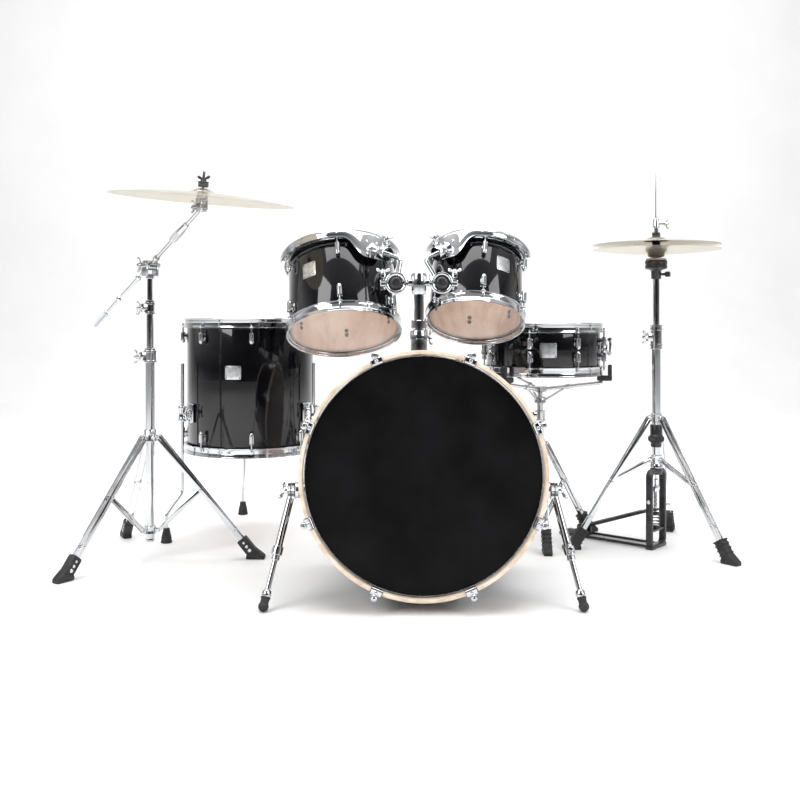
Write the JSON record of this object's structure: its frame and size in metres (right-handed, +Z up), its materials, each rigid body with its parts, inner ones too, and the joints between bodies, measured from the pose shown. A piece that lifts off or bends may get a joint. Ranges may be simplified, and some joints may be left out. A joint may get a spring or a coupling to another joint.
{
  "type": "acoustic drum kit",
  "caption": "Acoustic drum kit with bass drum, rack toms, floor tom, snare, boom cymbal stand and pedal hi-hat; drums, stands, boom and pedal all adjust.",
  "frame": {"origin": "on the floor, in the middle of the kit's footprint box", "axes": "+Z up, +X to the right for someone who faces the kit, -Y out of the front of the bass drum"},
  "size_m": [1.9002, 1.2295, 1.135],
  "materials": {
    "black_lacquer": "gloss lacquer over maple",
    "maple_hoop": "pale lacquered maple",
    "black_film": "satin black film",
    "clear_film": "clear film",
    "coated_film": "coated white film",
    "chrome": "polished plate",
    "steel": "bright steel",
    "black_steel": "black powder coat",
    "rubber": "moulded",
    "bronze": "lathed bright bronze"
  },
  "bodies": {
    "base": {"bass_drum_shell": "black_lacquer", "bass_drum_hoops": "maple_hoop", "bass_drum_front_head": "black_film", "bass_drum_batter_head": "clear_film", "bass_drum_lugs": "chrome", "bass_drum_claws": "chrome", "bass_drum_brackets": "chrome", "floor_tom_legs": "chrome", "snare_stand": "chrome", "boom_stand_tube": "chrome", "hihat_frame": "black_steel", "hihat_stand": "chrome", "rubber_feet": "rubber", "hihat_spring": "steel"},
    "left_spur": {"left_spur": "chrome"},
    "right_spur": {"right_spur": "chrome"},
    "tom_post": {"tom_post": "chrome"},
    "large_tom": {"large_tom_shell": "black_lacquer", "large_tom_heads": "clear_film", "large_tom_hoops": "chrome", "large_tom_lugs": "chrome", "large_tom_mount": "chrome", "large_tom_arm": "chrome"},
    "small_tom": {"small_tom_shell": "black_lacquer", "small_tom_heads": "clear_film", "small_tom_hoops": "chrome", "small_tom_lugs": "chrome", "small_tom_mount": "chrome", "small_tom_arm": "chrome"},
    "floor_tom": {"floor_tom_shell": "black_lacquer", "floor_tom_heads": "clear_film", "floor_tom_hoops": "chrome", "floor_tom_lugs": "chrome", "floor_tom_leg_brackets": "chrome"},
    "snare": {"snare_shell": "black_lacquer", "snare_heads": "coated_film", "snare_hoops": "chrome", "snare_lugs": "chrome", "snare_strainer": "chrome", "snare_wires": "steel", "snare_basket": "chrome"},
    "strainer_lever": {"strainer_lever": "chrome"},
    "stand_hub": {"boom_stand_hub": "chrome"},
    "stand_upper": {"boom_upper_tubes": "chrome"},
    "boom": {"boom_arm": "chrome"},
    "tilter": {"cymbal_tilter": "chrome"},
    "crash": {"crash_cymbal": "bronze"},
    "hihat_upper": {"hihat_upper_tube": "chrome", "hihat_seat": "black_steel", "hihat_bottom_cymbal": "bronze"},
    "hihat_rod": {"hihat_pull_rod": "steel"},
    "hihat_top": {"hihat_top_cymbal": "bronze", "hihat_clutch": "steel"},
    "pedal": {"hihat_footboard": "chrome"},
    "stand_leg_1": {"boom_stand_leg_1": "chrome"},
    "stand_brace_1": {"boom_stand_brace_1": "chrome"},
    "stand_leg_2": {"boom_stand_leg_2": "chrome"},
    "stand_brace_2": {"boom_stand_brace_2": "chrome"},
    "stand_leg_3": {"boom_stand_leg_3": "chrome"},
    "stand_brace_3": {"boom_stand_brace_3": "chrome"}
  },
  "joints": [
    {"name": "left_spur_fold", "type": "hinge", "parent": "base", "child": "left_spur", "pos_m": [-0.28, -0.472, 0.271], "axis": [1, 0, 0], "range_deg": [0, 100]},
    {"name": "right_spur_fold", "type": "hinge", "parent": "base", "child": "right_spur", "pos_m": [0.362, -0.472, 0.271], "axis": [1, 0, 0], "range_deg": [0, 100]},
    {"name": "tom_holder_height", "type": "slide", "parent": "base", "child": "tom_post", "axis": [0, 0, 1], "range_m": [0, 0.08]},
    {"name": "large_tom_tilt", "type": "hinge", "parent": "tom_post", "child": "large_tom", "pos_m": [-0.025, -0.395, 0.7835], "axis": [1, 0, 0], "range_deg": [-5, 12]},
    {"name": "small_tom_tilt", "type": "hinge", "parent": "tom_post", "child": "small_tom", "pos_m": [0.091, -0.395, 0.7835], "axis": [1, 0, 0], "range_deg": [-5, 12]},
    {"name": "floor_tom_height", "type": "slide", "parent": "base", "child": "floor_tom", "axis": [0, 0, 1], "range_m": [-0.08, 0.1]},
    {"name": "snare_height", "type": "slide", "parent": "base", "child": "snare", "axis": [0, 0, 1], "range_m": [-0.02, 0.09]},
    {"name": "strainer_throw", "type": "hinge", "parent": "snare", "child": "strainer_lever", "pos_m": [0.63787, 0.18287, 0.583], "axis": [0.1564, 0.9877, 0], "range_deg": [0, 100]},
    {"name": "stand_hub_slide", "type": "slide", "parent": "base", "child": "stand_hub", "axis": [0, 0, 1], "range_m": [0, 0.09377]},
    {"name": "stand_leg_1_fold", "type": "hinge", "parent": "stand_hub", "child": "stand_leg_1", "pos_m": [-0.75278, -0.05905, 0.35], "axis": [0.848, -0.5299, 0], "range_deg": [0, 31.6]},
    {"name": "stand_brace_1_fold", "type": "hinge", "parent": "base", "child": "stand_brace_1", "pos_m": [-0.75278, -0.05905, 0.081], "axis": [0.848, -0.5299, 0], "range_deg": [-37.56, 0]},
    {"name": "stand_leg_2_fold", "type": "hinge", "parent": "stand_hub", "child": "stand_leg_2", "pos_m": [-0.71302, -0.03791, 0.35], "axis": [0.0349, 0.9994, 0], "range_deg": [0, 31.6]},
    {"name": "stand_brace_2_fold", "type": "hinge", "parent": "base", "child": "stand_brace_2", "pos_m": [-0.71302, -0.03791, 0.081], "axis": [0.0349, 0.9994, 0], "range_deg": [-37.56, 0]},
    {"name": "stand_leg_3_fold", "type": "hinge", "parent": "stand_hub", "child": "stand_leg_3", "pos_m": [-0.75121, -0.01404, 0.35], "axis": [-0.8829, -0.4695, 0], "range_deg": [0, 31.6]},
    {"name": "stand_brace_3_fold", "type": "hinge", "parent": "base", "child": "stand_brace_3", "pos_m": [-0.75121, -0.01404, 0.081], "axis": [-0.8829, -0.4695, 0], "range_deg": [-37.56, 0]},
    {"name": "cymbal_stand_height", "type": "slide", "parent": "base", "child": "stand_upper", "axis": [0, 0, 1], "range_m": [-0.02, 0.12]},
    {"name": "boom_tilt", "type": "hinge", "parent": "stand_upper", "child": "boom", "pos_m": [-0.739, -0.037, 0.847], "axis": [-0.6056, -0.7958, 0], "range_deg": [-5, 17]},
    {"name": "cymbal_tilt", "type": "hinge", "parent": "boom", "child": "tilter", "pos_m": [-0.5628, -0.17109, 0.99799], "axis": [-0.6056, -0.7958, 0], "range_deg": [-10, 10]},
    {"name": "crash_sway", "type": "hinge", "parent": "tilter", "child": "crash", "pos_m": [-0.55842, -0.17394, 1.05274], "axis": [1, 0, 0], "range_deg": [-1.5, 1.5]},
    {"name": "hihat_height", "type": "slide", "parent": "base", "child": "hihat_upper", "axis": [0, 0, 1], "range_m": [-0.06, 0.06]},
    {"name": "clutch_slide", "type": "slide", "parent": "hihat_rod", "child": "hihat_top", "axis": [0, 0, 1], "range_m": [-0.061, 0.061]},
    {"name": "pedal", "type": "hinge", "parent": "base", "child": "pedal", "pos_m": [0.57155, 0.25113, 0.034], "axis": [0.6428, 0.766, 0], "range_deg": [0, 2.82]},
    {"name": "pull_rod_slide", "type": "slide", "parent": "base", "child": "hihat_rod", "axis": [0, 0, 1], "range_m": [-0.0121, 0], "stiffness_N_per_m": 900, "springref_m": 0.03, "deforming": ["hihat_spring"]}
  ],
  "couplings": [
    {"joint": "stand_leg_1_fold", "follows": "stand_hub_slide", "rad_per_m": 5.8448},
    {"joint": "stand_brace_1_fold", "follows": "stand_hub_slide", "rad_per_m": -6.9543},
    {"joint": "stand_leg_2_fold", "follows": "stand_hub_slide", "rad_per_m": 5.8448},
    {"joint": "stand_brace_2_fold", "follows": "stand_hub_slide", "rad_per_m": -6.9543},
    {"joint": "stand_leg_3_fold", "follows": "stand_hub_slide", "rad_per_m": 5.8448},
    {"joint": "stand_brace_3_fold", "follows": "stand_hub_slide", "rad_per_m": -6.9543},
    {"joint": "clutch_slide", "follows": "hihat_height", "ratio": 1},
    {"joint": "pull_rod_slide", "follows": "pedal", "m_per_rad": -0.24416}
  ]
}
